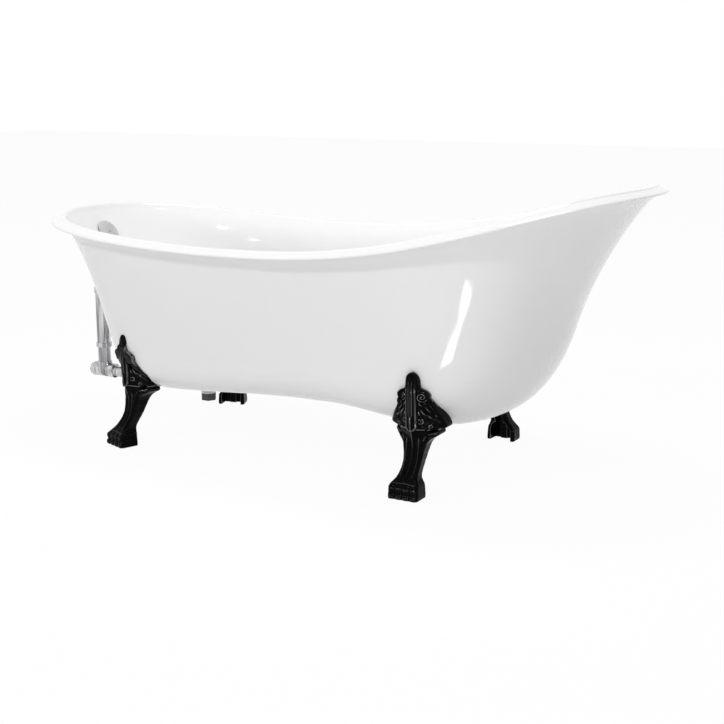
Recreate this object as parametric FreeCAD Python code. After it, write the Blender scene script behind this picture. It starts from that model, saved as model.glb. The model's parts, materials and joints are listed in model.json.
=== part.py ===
import FreeCAD, Part
import math
import os
from FreeCAD import Vector

# Slipper clawfoot bathtub with an exposed waste and overflow.
# Millimetres, +Z up, the floor at z = 0. X runs along the tub, from the drain end (-X) to the
# raised slipper end (+X). The origin is on the floor, under the middle of the rim.
os.makedirs("parts", exist_ok=True)

# ---- rim, seen from above and from the side
rim_half_length = 850.0
rim_half_width = 369.5        # at mid length
plan_power = 3.0              # how square the ends are
plan_fullness = 0.36          # how much the outline swells towards the ends
plan_taper_rim = 0.10         # the slipper half is wider at the rim
plan_taper_base = -0.05       # and a little narrower at the base
crest_low = 566.0             # the rim's lowest height
crest_low_place = -0.2        # where it lies, as a share of the half length
drain_end_rise = 45.0
slipper_rise = 162.0
lip_width = 32.0              # from the crest out to the lip's edge
lip_drop = 13.0
lip_edge_thickness = 4.0
lip_root_level = 0.95         # level of the wall where the lip's underside starts

# ---- shells
basin_wall = 5.0
skirt_wall = 4.5
skirt_drop = 13.0             # the skirt's last ring, below the crest
skirt_top_drop = 22.0         # the skirt's cut edge, below the crest
skirt_floor_rise = 6.0        # the skirt's flat underside, above its first ring
underside_low = 152.0         # height of the skirt's first ring at the ends
underside_arch = 39.0
arch_centre_x = 125.0
arch_reach_low = 910.0
arch_reach_slipper = 340.0
basin_floor = 218.0           # the bathing floor at the drain
basin_fall = 0.012            # slope of the bathing floor towards the drain

# Wall outlines at the drain end, the slipper end and the side. From the base outwards: a quarter
# turn of this size up to turn_level, a straight lean and a flare that grows with the level.
skirt_drain_end = {"base": 527.0, "turn": 72.0, "turn_level": 0.47, "lean": 145.0, "flare": 81.0,
                   "power": 2.2}
skirt_slipper_end = {"base": 449.0, "turn": 148.0, "turn_level": 0.38, "lean": 47.0, "flare": 183.0,
                     "power": 2.2}
skirt_side = {"base": 221.0, "turn": 116.0, "turn_level": 0.28, "lean": -41.0, "flare": 38.0, "power": 6.0}
basin_drain_end = {"base": 480.0, "turn": 70.0, "turn_level": 0.30, "lean": 268.0, "flare": 0.0, "power": 2.0}
basin_slipper_end = {"base": 330.0, "turn": 110.0, "turn_level": 0.30, "lean": 230.0, "flare": 148.0,
                     "power": 3.2}
basin_side = {"base": 175.0, "turn": 95.0, "turn_level": 0.30, "lean": 18.0, "flare": 49.5, "power": 10.0}
skirt_levels = (0.004, 0.015, 0.04, 0.08, 0.14, 0.22, 0.32, 0.45, 0.6, 0.75, 0.88, 1.0, 1.03)
basin_levels = (0.0, 0.0025, 0.01, 0.025, 0.05, 0.09, 0.15, 0.23, 0.33, 0.48, 0.65, 0.8, 0.9, 0.96, 1.0)
ring_points = 32
ring_edges = 8

# ---- fits
skin_gap = 0.3                # between pieces that lie on a curved shell
seat_gap = 0.05               # between a tube and what it slides into
thread_gap = 0.05

# ---- board and cradles under the basin
board_thickness = 15.0
board_inset = 22.0            # inside the flat floor's outline
board_drain_hole_radius = 62.0
cradle_width = 46.0
cradle_span = 630.0            # across the tub, from stud to stud
cradle_thickness = 5.0
cradle_top = 296.0
block_width = 44.0
block_length = 90.0
block_place_y = 95.0
block_screw_radius = 2.5
block_screw_bite = 6.0

# ---- feet
foot_slipper_x = 359.0
foot_slipper_y = 293.0
foot_drain_x = -521.0
foot_drain_y = 262.0
foot_drain_splay = 20.5       # degrees, turned towards the drain end
foot_height = 314.0
slipper_swing = (30.0, 0.0)     # how far the leaf stands aside of and outside its paw
drain_swing = (64.0, -18.0)
paw_half_width = 40.0
paw_half_depth = 24.0
paw_height = 40.0
toe_radius = 10.0
toe_pitch = 19.4
leg_wall = 7.0
stud_radius = 5.0
stud_spacing = 24.0
stud_slipper_x = 389.0          # along the tub, the middle between a near foot's two studs
stud_slipper_far_x = 329.0
stud_drain_x = -465.0
stud_height = 262.0
seat_sag = 2.0                # how far a washer stands off the curved strap
stud_grip = 8.0               # how far a stud's hole reaches into the foot
washer_radius = 11.0
washer_thickness = 2.0
nut_thickness = 8.0
nut_flats = 16.0

# ---- drain
drain_x = -421.0
drain_seat_drop = 4.0
putty_thickness = 1.5
drain_boss_radius = 46.0
drain_boss_depth = 9.0
strainer_flange_radius = 36.0
strainer_flange_thickness = 3.0
strainer_thread_radius = 22.5
strainer_bore_radius = 19.5
strainer_length = 46.0
strainer_bar_thickness = 4.0
shoe_radius = 34.0
shoe_flange_radius = 42.0
shoe_flange_thickness = 6.0
shoe_wall = 4.0
shoe_neck_radius = 20.0
shoe_neck_top = 103.0
shoe_bottom = 100.0
shoe_socket_radius = 20.0
shoe_socket_end = drain_x - shoe_radius - 22.0
tail_nut_bottom = 80.0
tail_nut_flats = 38.0
tail_bore_radius = 15.0
gasket_thickness = 2.5
stopper_radius = 30.0
stopper_dome = 5.0
seal_thickness = 1.5
hub_radius = 11.0
hub_bottom = 177.0
hub_height = 9.0
plunger_radius = 4.0
cartridge_radius = 7.5
cartridge_length = 32.0
spring_wire = 1.0
spring_turns = 5.0

# ---- exposed waste and overflow
standpipe_x = -795.0
standpipe_radius = 20.0
pipe_wall = 1.2
standpipe_bottom = 205.0
standpipe_top = 366.0
riser_radius = 18.7
riser_top = 262.0
collar_radius = 23.0
collar_bottom = 195.0
collar_top = 209.0
elbow_radius = 16.0
elbow_bend = 32.0
elbow_straight = 6.0
elbow_tail_overlap = 30.0
elbow_flange_radius = 34.0
elbow_flange_thickness = 5.0
overflow_height = 526.0
overflow_hole_radius = 26.5
overflow_nipple_radius = 25.5
overflow_cover_radius = 35.5
overflow_cover_thickness = 9.0
cover_back = -16.5            # the cover's back plane, from the skirt's outer face
overflow_screw_radius = 2.5
waste_axis_z = 125.5
tee_radius = 19.75
tee_left = -826.0
tee_cap_left = -845.0
tee_thread_right = -762.0
tee_body_right = -784.0
tee_socket_radius = 18.4
tee_neck_radius = 21.3
tee_neck_top = 152.0
tee_riser_seat = 142.5
waste_pipe_radius = 16.0
slip_nut_length = 18.0
slip_nut_bite = 11.0
slip_washer_thickness = 4.0


# ---- the tub's outline as formulas

def crest_height(u):
    """Height of the rim's crest at a share u of the half length, -1 to 1."""
    low = crest_low_place
    towards_drain = min(1.0, max(0.0, (low - u) / (1.0 + low)))
    towards_slipper = min(1.0, max(0.0, (u - low) / (1.0 - low)))
    swoop = 1.0 - (1.0 - towards_slipper ** 2.5) ** 1.5
    return crest_low + drain_end_rise * towards_drain ** 1.7 + slipper_rise * swoop


def underside_height(x):
    """Height of the skirt's first ring: a long arch that is highest at arch_centre_x."""
    reach_here = arch_reach_low if x < arch_centre_x else arch_reach_slipper
    share = min(1.0, abs(x - arch_centre_x) / reach_here)
    return underside_low + underside_arch * math.cos(math.pi / 2 * share) ** 2


def basin_floor_height(x):
    return basin_floor + basin_fall * (x - drain_x)


def reach(outline, level):
    """How far out a wall stands at a level, 0 at its base and 1 at its top."""
    turned = min(1.0, level / outline["turn_level"])
    quarter = math.sqrt(max(0.0, 1.0 - (1.0 - turned) ** 2))
    flare = outline["flare"] * level ** outline["power"]
    return outline["base"] + outline["turn"] * quarter + outline["lean"] * level + flare


def plan_xy(angle, drain_end, slipper_end, half_width, taper):
    """A point of the tub's plan outline, at an angle about its middle."""
    u = math.cos(angle)
    side = math.copysign(math.sqrt(max(0.0, 1.0 - abs(u) ** plan_power)), math.sin(angle))
    x = (slipper_end - drain_end) / 2 + (slipper_end + drain_end) / 2 * u
    y = half_width * side * (1.0 + taper * u + plan_fullness * u * u)
    return x, y


def taper_at(level):
    return plan_taper_base + (plan_taper_rim - plan_taper_base) * level


def skirt_point(angle, level):
    x, y = plan_xy(angle, reach(skirt_drain_end, level), reach(skirt_slipper_end, level),
                   reach(skirt_side, level), taper_at(level))
    bottom = underside_height(x)
    top = crest_height(math.cos(angle)) - skirt_drop
    return Vector(x, y, bottom + (top - bottom) * level)


def basin_point(angle, level):
    x, y = plan_xy(angle, reach(basin_drain_end, level), reach(basin_slipper_end, level),
                   reach(basin_side, level), taper_at(level))
    bottom = basin_floor_height(x)
    return Vector(x, y, bottom + (crest_height(math.cos(angle)) - bottom) * level)


def lip_point(angle, out, below):
    """A point of the lip, a distance out from the crest and below it."""
    inset = lip_width - out
    x, y = plan_xy(angle, rim_half_length - inset, rim_half_length - inset,
                   rim_half_width - inset, plan_taper_rim)
    return Vector(x, y, crest_height(math.cos(angle)) - below)


def lip_slope(out):
    return lip_drop * (out / lip_width) ** 1.2


def moved_out(surface, angle, level, distance):
    """A point of a wall moved along the wall's outward normal."""
    step = 1e-4
    around = surface(angle + step, level) - surface(angle - step, level)
    up = surface(angle, level + step) - surface(angle, max(0.0, level - step))
    normal = around.cross(up)
    normal.normalize()
    return surface(angle, level) + normal * distance


# ---- rings, lofts and sewn solids

def ring(point_at):
    """A closed smooth wire through points spaced evenly in angle."""
    points = [point_at(2 * math.pi * i / ring_points) for i in range(ring_points)]
    curve = Part.BSplineCurve()
    curve.interpolate(Points=points, PeriodicFlag=True,
                      Parameters=[i / ring_points for i in range(ring_points + 1)])
    cuts = [k / ring_edges for k in range(ring_edges + 1)]
    return Part.Wire([Part.Edge(curve, cuts[k], cuts[k + 1]) for k in range(ring_edges)])


def flat_ring(point_at, z):
    def at_height(angle):
        point = point_at(angle)
        return Vector(point.x, point.y, z)
    return ring(at_height)


def smooth(rings):
    return Part.makeLoft(rings, False, False).Faces


def straight(rings):
    return Part.makeLoft(rings, False, True).Faces


def sewn(faces):
    shell = Part.Compound(faces).copy()
    shell.sewShape(0.01)
    return Part.makeSolid(shell.Shells[0])


def hull_volume(offset, floor_offset):
    """Everything inside the skirt's outer surface moved out by offset, above its flat underside
    moved up by floor_offset. It runs on straight above the rim."""
    def wall(level):
        return lambda angle: moved_out(skirt_point, angle, level, offset)
    first = wall(skirt_levels[0])
    last = wall(skirt_levels[-1])
    rings = [ring(wall(level)) for level in skirt_levels]
    foot = flat_ring(first, underside_low - 60.0)
    head = flat_ring(last, crest_low + slipper_rise + 80.0)
    faces = straight([foot, rings[0]]) + smooth(rings) + straight([rings[-1], head])
    body = sewn(faces + [Part.Face(foot), Part.Face(head)])
    return body.cut(slab_below(lambda x: underside_height(x) + skirt_floor_rise + floor_offset))


def side_curve(height_at):
    """The side view of a height that depends on x only, as a curve in front of the tub."""
    count = 29
    far = rim_half_length + 60.0
    xs = [-far + 2 * far * i / (count - 1) for i in range(count)]
    points = [Vector(x, -rim_half_width - 100.0, height_at(x)) for x in xs]
    curve = Part.BSplineCurve()
    curve.interpolate(points)
    return curve.toShape(), points[0], points[-1]


def slab(height_at, level):
    """The space between a height that depends on x and a flat level, across the tub's width."""
    edge, first, last = side_curve(height_at)
    first_flat = Vector(first.x, first.y, level)
    last_flat = Vector(last.x, last.y, level)
    outline = Part.Wire([edge, Part.makeLine(last, last_flat), Part.makeLine(last_flat, first_flat),
                         Part.makeLine(first_flat, first)])
    return Part.Face(outline).extrude(Vector(0, -2 * first.y, 0))


def slab_below(height_at):
    return slab(height_at, 0.0)


def slab_above(height_at):
    return slab(height_at, crest_low + slipper_rise + 200.0)


# ---- turned pieces

def turned(profile, origin, direction):
    """A solid of revolution: profile is a closed list of (radius, height) about the direction."""
    points = [Vector(radius, 0, height) for radius, height in profile]
    face = Part.Face(Part.makePolygon(points + points[:1]))
    solid = face.revolve(Vector(0, 0, 0), Vector(0, 0, 1), 360)
    turn = FreeCAD.Rotation(Vector(0, 0, 1), direction)
    solid.Placement = FreeCAD.Placement(origin, turn)
    return solid


def rod(radius, start, end):
    along = end - start
    return Part.makeCylinder(radius, along.Length, start, along)


def tube(outer, inner, start, end):
    return rod(outer, start, end).cut(rod(inner, start, end))


def hexagon(flats, thickness, origin, direction):
    corner = flats / math.sqrt(3.0)
    points = [Vector(corner * math.cos(k * math.pi / 3), corner * math.sin(k * math.pi / 3),
                     0) for k in range(7)]
    solid = Part.Face(Part.makePolygon(points)).extrude(Vector(0, 0, thickness))
    solid.Placement = FreeCAD.Placement(origin, FreeCAD.Rotation(Vector(0, 0, 1), direction))
    return solid


def slip_nut(outer, socket, pipe, origin, direction):
    """A nut over the end of a threaded socket. The origin is the socket's end and the direction
    runs on along the pipe."""
    top = slip_nut_length - slip_nut_bite
    edge = 1.2
    profile = [(socket + thread_gap, -slip_nut_bite), (outer - edge, -slip_nut_bite),
               (outer, edge - slip_nut_bite),
               (outer, top - edge), (outer - edge, top), (pipe + 2 * seat_gap, top),
               (pipe + 2 * seat_gap, slip_washer_thickness), (socket + thread_gap, slip_washer_thickness)]
    return turned(profile, origin, direction)


def slip_washer(socket, pipe, origin, direction):
    """A tapered rubber washer that a slip nut presses on the end of a socket."""
    taper = 1.0
    profile = [(pipe + seat_gap, 0), (socket - seat_gap, 0),
               (socket - seat_gap, slip_washer_thickness - taper),
               (pipe + taper, slip_washer_thickness), (pipe + seat_gap, slip_washer_thickness)]
    return turned(profile, origin, direction)


# ---- shells of the tub

def basin_outer_levels():
    return [level for level in basin_levels if 0 < level < lip_root_level] + [lip_root_level]


def make_basin_shell():
    """The inner shell with its rolled lip, before its holes."""
    inner = [ring(lambda angle, level=level: basin_point(angle, level)) for level in basin_levels]
    lip = [ring(lambda angle, out=out: lip_point(angle, out, lip_slope(out)))
           for out in (lip_width * 0.22, lip_width * 0.56, lip_width)]
    edge = ring(lambda angle: lip_point(angle, lip_width, lip_drop + lip_edge_thickness))
    under = ring(lambda angle: lip_point(angle, lip_width / 2, lip_slope(lip_width / 2) + basin_wall))
    outer = [ring(lambda angle, level=level: moved_out(basin_point, angle, level, basin_wall))
             for level in basin_outer_levels()]
    below = ring(lambda angle: basin_point(angle, 0.0) - Vector(0, 0, basin_wall))
    faces = smooth(inner + lip) + straight([lip[-1], edge]) + straight([edge, under])
    faces += straight([under, outer[-1]]) + smooth([below] + outer)
    return sewn(faces + [Part.Face(inner[0]), Part.Face(below)])


def make_basin():
    seat = drain_levels()["seat"]
    shell = make_basin_shell()
    axis = Vector(drain_x, 0, 0)
    boss = Part.makeCylinder(drain_boss_radius, drain_boss_depth - 0.5,
                             axis + Vector(0, 0, seat - drain_boss_depth))
    recess = Part.makeCone(strainer_flange_radius + 1.0, strainer_flange_radius + 6.0, drain_seat_drop + 1.0,
                           axis + Vector(0, 0, seat))
    hole = Part.makeCylinder(strainer_thread_radius + 0.5, 60, axis + Vector(0, 0, seat - 30))
    return shell.fuse(boss).cut(recess).cut(hole).cut(overflow_hole())


def make_skirt():
    outer = hull_volume(0.0, 0.0)
    inner = hull_volume(-skirt_wall, skirt_wall)
    top = slab_above(lambda x: crest_height(max(-1.0, min(1.0, x / rim_half_length))) - skirt_top_drop)
    skirt = outer.cut(top).cut(inner)
    drain_hole = Part.makeCylinder(shoe_radius + 3.0, 120, Vector(drain_x, 0, underside_low - 30))
    skirt = skirt.cut(drain_hole).cut(overflow_hole())
    for stud in stud_frames():
        skirt = skirt.cut(rod(stud_radius + 0.5, stud["inner"], stud["outer"]))
    return skirt


# ---- board and cradles

def make_board():
    """The stiffening board glued under the bathing floor, cut out round the drain."""
    def outline(angle):
        x, y = plan_xy(angle, basin_drain_end["base"] - board_inset, basin_slipper_end["base"] - board_inset,
                       basin_side["base"] - board_inset, plan_taper_base)
        return Vector(x, y, basin_floor_height(x) - basin_wall - skin_gap)
    face = Part.Face(ring(outline))
    board = face.extrude(Vector(0, 0, -board_thickness))
    hole = Part.makeCylinder(board_drain_hole_radius, 200, Vector(drain_x, 0, 100))
    return board.cut(hole)


def make_cradle(near_x, far_x, studs):
    """A flat steel strap bent to the inside of the skirt, from the near foot's studs to the far
    foot's, notched round the drain."""
    start = skirt_wall + skin_gap
    outside = hull_volume(-start, start)
    inside = hull_volume(-start - cradle_thickness, start + cradle_thickness)
    band = Part.makeBox(cradle_width, 900, cradle_top, Vector(-cradle_width / 2, -450, 0))
    band.rotate(Vector(0, 0, 0), Vector(0, 0, 1), math.degrees(math.atan2(near_x - far_x, cradle_span)))
    band.translate(Vector((near_x + far_x) / 2, 0, 0))
    strap = outside.common(band).cut(inside)
    for stud in studs:
        strap = strap.cut(rod(stud_radius + 0.4, stud["inner"], stud["outer"]))
    return strap.cut(Part.makeCylinder(shoe_radius + 6.0, 200, Vector(drain_x, 0, 100)))


def block_places():
    """Where the timber blocks stand along the tub."""
    return (stud_slipper_x - 115.0, stud_drain_x + 116.0)


def make_blocks(screws):
    """Timber blocks that carry the board on the skirt's floor."""
    under = slab_below(lambda at: underside_height(at) + skirt_floor_rise + skirt_wall + skin_gap)
    over = slab_above(lambda at: basin_floor_height(at) - basin_wall - board_thickness - 2 * skin_gap)
    blocks = []
    for x in block_places():
        for side in (-1, 1):
            corner = Vector(x - block_width / 2, side * block_place_y - block_length / 2, 0)
            post = Part.makeBox(block_width, block_length, 400, corner)
            blocks.append(post.cut(under).cut(over).cut(screws))
    return Part.Compound(blocks)


# ---- feet

def foot_places():
    """Each foot's name, paw centre, turn about the vertical, swing, studs' place and whether it
    stands across the tub, mirrored. A turn of 0 faces -Y."""
    slipper_at = Vector(foot_slipper_x, -foot_slipper_y, 0)
    swing_back = (-slipper_swing[0], slipper_swing[1])
    drain = {"at": Vector(foot_drain_x, -foot_drain_y, 0), "turn": -foot_drain_splay, "swing": drain_swing,
             "stud_x": stud_drain_x}
    return [{"name": "foot_slipper_near", "far": False, "at": slipper_at, "turn": 0.0,
             "swing": slipper_swing, "stud_x": stud_slipper_x},
            {"name": "foot_slipper_far", "far": True, "at": slipper_at, "turn": 0.0,
             "swing": swing_back, "stud_x": stud_slipper_far_x},
            {"name": "foot_drain_near", "far": False, **drain},
            {"name": "foot_drain_far", "far": True, **drain}]


def skirt_place(x, z, side):
    """The angle and level at which the skirt's outer surface has this x and z."""
    angle = side * math.pi / 2
    level = 0.3
    for _ in range(40):
        drain = reach(skirt_drain_end, level)
        slipper = reach(skirt_slipper_end, level)
        u = (x - (slipper - drain) / 2) / ((slipper + drain) / 2)
        angle = side * math.acos(max(-1.0, min(1.0, u)))
        bottom = underside_height(x)
        level = (z - bottom) / (crest_height(u) - skirt_drop - bottom)
    return angle, level


def stud_frames():
    """Every foot stud: two side by side in each foot, square to the skirt between them."""
    frames = []
    for foot in foot_places():
        angle, level = skirt_place(foot["stud_x"], stud_height, 1.0 if foot["far"] else -1.0)
        surface = moved_out(skirt_point, angle, level, 0.0)
        outward = moved_out(skirt_point, angle, level, 1.0) - surface
        beside = outward.cross(Vector(0, 0, 1))
        beside.normalize()
        seat = skirt_wall + skin_gap + cradle_thickness + seat_sag
        for side in (-1, 1):
            middle = surface + beside * (side * stud_spacing / 2)
            frames.append({"foot": foot["name"], "outward": outward, "seat": middle - outward * seat,
                           "inner": middle - outward * (seat + 15.0), "outer": middle + outward * stud_grip})
    return frames


def oval(a, back, front, z):
    """A closed section of a leg: half width a, from back to front, flat at height z."""
    middle = (back + front) / 2
    half = (front - back) / 2
    points = []
    for k in range(16):
        angle = 2 * math.pi * k / 16
        c = math.cos(angle)
        s = math.sin(angle)
        across = a * math.copysign(abs(c) ** 0.8, c)
        points.append(Vector(across, -middle - half * math.copysign(abs(s) ** 0.8, s), z))
    curve = Part.BSplineCurve()
    curve.interpolate(Points=points, PeriodicFlag=True)
    return Part.Wire([curve.toShape()])


def side_oval(s, out, z, half_out, half_z):
    """A closed section across a head, in the upright plane at a distance s to the side."""
    points = []
    for k in range(12):
        angle = 2 * math.pi * k / 12
        points.append(Vector(s, -out - half_out * math.cos(angle), z + half_z * math.sin(angle)))
    curve = Part.BSplineCurve()
    curve.interpolate(Points=points, PeriodicFlag=True)
    return Part.Wire([curve.toShape()])


# Leg sections from the paw up to the leaf's tip: height, half width, back and front
leg_sections = ((34.0, 33.0, -22.0, 18.5), (50.0, 25.0, -19.0, 18.0), (75.0, 20.5, -19.0, 17.0),
                (95.0, 20.5, -20.0, 18.0), (115.0, 23.0, -20.0, 20.0), (135.0, 27.0, -22.0, 26.0),
                (155.0, 31.0, -24.0, 34.0), (180.0, 33.0, -23.0, 42.0), (215.0, 33.0, -19.0, 44.0),
                (250.0, 30.0, -5.0, 45.0), (275.0, 20.0, 8.0, 46.0), (295.0, 14.5, 18.0, 46.0),
                (308.0, 9.5, 24.0, 45.0), (foot_height, 4.5, 27.0, 43.0))
# Head sections from the leg out to the beak: side, out, height, half thickness, half height
head_sections = ((12.0, 7.0, 206.0, 29.0, 56.0), (34.0, -1.0, 205.0, 24.0, 53.0),
                 (44.0, -4.5, 201.0, 21.5, 36.0), (54.0, -8.0, 199.0, 18.5, 21.0),
                 (66.0, -11.0, 192.5, 15.0, 10.5), (74.0, -12.0, 187.0, 12.0, 3.5))
jaw_sections = ((20.0, 0.0, 165.0, 25.0, 15.0), (42.0, -8.0, 165.0, 20.0, 9.0),
                (54.0, -12.0, 167.0, 17.0, 6.0), (60.0, -14.0, 168.0, 14.0, 3.5))
# How much of the swing a foot has at a height
sway_steps = ((0.0, 0.0), (30.0, 0.0), (50.0, 0.18), (70.0, 0.40), (85.0, 0.56), (100.0, 0.70), (125.0, 0.86),
              (144.0, 0.95), (170.0, 1.0), (400.0, 1.0))


def swayed(swing, z):
    """How far the casting's middle stands from above its paw's middle at a height."""
    for (low, start), (high, end) in zip(sway_steps, sway_steps[1:]):
        if low <= z <= high:
            share = start + (end - start) * (z - low) / (high - low)
    return Vector(swing[0] * share, -swing[1] * share, 0)


def mirrored(points, side):
    return [(side * s, out, z, half_out, half_z) for s, out, z, half_out, half_z in points]


def make_head(side):
    """One beast's head in profile: a brow that runs out to a beak, and an open lower jaw."""
    brow = Part.makeLoft([side_oval(*section) for section in mirrored(head_sections, side)], True, False)
    jaw = Part.makeLoft([side_oval(*section) for section in mirrored(jaw_sections, side)], True, False)
    return brow.fuse(jaw)


def capsule(radius, start, end):
    body = rod(radius, start, end)
    return body.fuse(Part.makeSphere(radius, start)).fuse(Part.makeSphere(radius, end))


def make_paw():
    """A paw with four toes, each a knuckle and a claw, standing flat on the floor."""
    paw = Part.makeLoft([oval(paw_half_width - 1, -paw_half_depth, 20.0, 0.0),
                         oval(paw_half_width - 1, -paw_half_depth, 20.0, 28.0),
                         oval(32.0, 2.0 - paw_half_depth, 20.0, paw_height)], True, True)
    for k in range(4):
        s = (k - 1.5) * toe_pitch
        knuckle = Vector(s, -17.5, 24.0)
        claw = Vector(s, -19.5, toe_radius - 0.5)
        paw = paw.fuse(capsule(toe_radius, knuckle, claw))
    below = Part.makeBox(200, 200, 60, Vector(-100, -100, -60))
    return paw.cut(below)


def leaning_box(swing, half_width, front, back, heights):
    """A box through the casting that follows its sway."""
    rings = []
    for z in heights:
        at = swayed(swing, z)
        corners = [(-half_width, -front), (half_width, -front), (half_width, -back), (-half_width, -back)]
        rings.append(Part.makePolygon([at + Vector(x, y, z) for x, y in corners + corners[:1]]))
    return Part.makeLoft(rings, True, True)


def foot_hollow(swing):
    """The open back of the casting: a tall channel in the leg and an arch through the paw."""
    half = paw_half_width - leg_wall - 5.0
    arch = Part.makeBox(2 * half, 60, 21, Vector(-half, -8, -1))
    crown = Part.makeCylinder(half, 60, Vector(0, -8, 16), Vector(0, 1, 0))
    lid = Part.makeBox(2 * half, 60, 34, Vector(-half, -8, 0))
    channel = leaning_box(swing, 10.0, -2.0, -90.0, (20.0, 30.0, 50.0, 70.0, 85.0, 100.0, 125.0, 140.0))
    return arch.fuse(crown.common(lid)).fuse(channel)


def make_foot_blank(swing):
    """A casting before it is fitted to the tub, its paw's middle at the origin."""
    wires = []
    for z, half_width, back, front in leg_sections:
        wire = oval(half_width, back, front, z)
        wire.translate(swayed(swing, z))
        wires.append(wire)
    foot = Part.makeLoft(wires, True, False).fuse(make_paw())
    for side in (-1, 1):
        scroll = capsule(11.5, Vector(side * 24.5, 0, 255.0), Vector(side * 24.5, -26.0, 255.0))
        head = make_head(side).fuse(scroll)
        head.translate(swayed(swing, foot_height))
        foot = foot.fuse(head)
    return foot.cut(foot_hollow(swing))


def make_feet(studs):
    """Four castings, each cut to lie on the skirt and drilled blind for its studs."""
    against = hull_volume(skin_gap, -skin_gap)
    feet = {}
    for place in foot_places():
        foot = make_foot_blank(place["swing"])
        foot.rotate(Vector(0, 0, 0), Vector(0, 0, 1), place["turn"])
        foot.translate(place["at"])
        if place["far"]:
            foot = foot.mirror(Vector(0, 0, 0), Vector(0, 1, 0))
        foot = foot.cut(against)
        for stud in studs:
            if stud["foot"] == place["name"]:
                foot = foot.cut(rod(stud_radius + thread_gap, stud["inner"], stud["outer"]))
        feet[place["name"]] = foot
    return feet


def make_foot_fasteners(studs):
    """Studs, washers and nuts that clamp the cradles and the skirt to the feet."""
    rods = []
    washers = []
    nuts = []
    for stud in studs:
        outward = stud["outward"]
        nut_end = stud["seat"] - outward * washer_thickness
        nut_start = nut_end - outward * nut_thickness
        rods.append(rod(stud_radius, stud["inner"], stud["outer"] - outward))
        washers.append(tube(washer_radius, stud_radius + 0.3, nut_end, stud["seat"]))
        nut = hexagon(nut_flats, nut_thickness, nut_start, outward)
        nuts.append(nut.cut(rod(stud_radius + thread_gap, nut_start, nut_end)))
    return Part.Compound(rods), Part.Compound(washers), Part.Compound(nuts)


# ---- drain

def on_drain(profile):
    return turned(profile, Vector(drain_x, 0, 0), Vector(0, 0, 1))


def drain_levels():
    """Heights along the drain, from the seat in the bathing floor downwards."""
    seat = basin_floor - drain_seat_drop
    flange_bottom = seat + putty_thickness
    boss_bottom = seat - drain_boss_depth
    shoe_top = boss_bottom - gasket_thickness
    return {"seat": seat, "flange_bottom": flange_bottom,
            "flange_top": flange_bottom + strainer_flange_thickness,
            "boss_bottom": boss_bottom,
            "shoe_top": shoe_top, "strainer_bottom": flange_bottom - strainer_length}


def make_strainer():
    """Flanged and threaded drain body with a cross bar and hub that carry the stopper."""
    z = drain_levels()
    body = on_drain([(strainer_bore_radius, z["strainer_bottom"]),
                     (strainer_thread_radius, z["strainer_bottom"]),
                     (strainer_thread_radius, z["flange_bottom"]), (strainer_flange_radius,
                                                                    z["flange_bottom"]),
                     (strainer_flange_radius, z["flange_top"] - 1.5), (strainer_flange_radius - 2.5,
                                                                       z["flange_top"]),
                     (strainer_bore_radius + 4.0, z["flange_top"]), (strainer_bore_radius,
                                                                     z["flange_top"] - 3.0)])
    hub = Part.makeCylinder(hub_radius, hub_height, Vector(drain_x, 0, hub_bottom))
    for turn in (0, 90):
        bar = Part.makeBox(2 * strainer_bore_radius + 1.0, strainer_bar_thickness, hub_height,
                           Vector(-strainer_bore_radius - 0.5, -strainer_bar_thickness / 2, 0))
        bar.rotate(Vector(0, 0, 0), Vector(0, 0, 1), turn)
        bar.translate(Vector(drain_x, 0, hub_bottom))
        body = body.fuse(bar)
    bore = Part.makeCylinder(cartridge_radius + thread_gap, 60, Vector(drain_x, 0, hub_bottom - 20))
    return body.fuse(hub).cut(bore)


def make_drain_seals():
    z = drain_levels()
    inner = strainer_thread_radius + 0.6
    putty_outer = strainer_flange_radius - 0.5
    gasket_outer = shoe_flange_radius - 1.0
    putty = on_drain([(inner, z["seat"]), (putty_outer, z["seat"]), (putty_outer, z["flange_bottom"]),
                      (inner, z["flange_bottom"])])
    gasket = on_drain([(inner, z["shoe_top"]), (gasket_outer, z["shoe_top"]),
                       (gasket_outer, z["boss_bottom"]),
                       (inner, z["boss_bottom"])])
    return putty, gasket


def make_shoe():
    """Drain shoe: flange, round chamber, side inlet for the waste pipe and a necked outlet."""
    top = drain_levels()["shoe_top"]
    chamber = shoe_radius - shoe_wall
    floor = shoe_neck_top + 8.0
    inner_floor = floor + shoe_wall
    thread = strainer_thread_radius + thread_gap
    body = on_drain([(thread, top), (shoe_flange_radius, top),
                     (shoe_flange_radius, top - shoe_flange_thickness),
                     (shoe_radius, top - shoe_flange_thickness - 3.0), (shoe_radius, floor + 4.0),
                     (shoe_neck_radius, shoe_neck_top), (shoe_neck_radius, shoe_bottom),
                     (tail_bore_radius, shoe_bottom), (tail_bore_radius, shoe_neck_top + 4.0),
                     (chamber, inner_floor + 5.0), (chamber, top - 22.0), (thread, top - 18.0)])
    axis_start = Vector(drain_x - chamber - 1.0, 0, waste_axis_z)
    axis_end = Vector(shoe_socket_end, 0, waste_axis_z)
    body = body.fuse(rod(shoe_socket_radius, axis_start, axis_end))
    bore_start = Vector(drain_x - 12.0, 0, waste_axis_z)
    return body.cut(rod(waste_pipe_radius + seat_gap, bore_start, axis_end - Vector(1, 0, 0)))


def make_tail_nut():
    """The nut on the shoe's outlet, open for the house's waste tube."""
    nut = hexagon(tail_nut_flats, shoe_bottom - tail_nut_bottom - 0.5, Vector(drain_x, 0, tail_nut_bottom),
                  Vector(0, 0, 1))
    return nut.cut(Part.makeCylinder(tail_bore_radius, 60, Vector(drain_x, 0, tail_nut_bottom - 20.0)))


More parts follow.
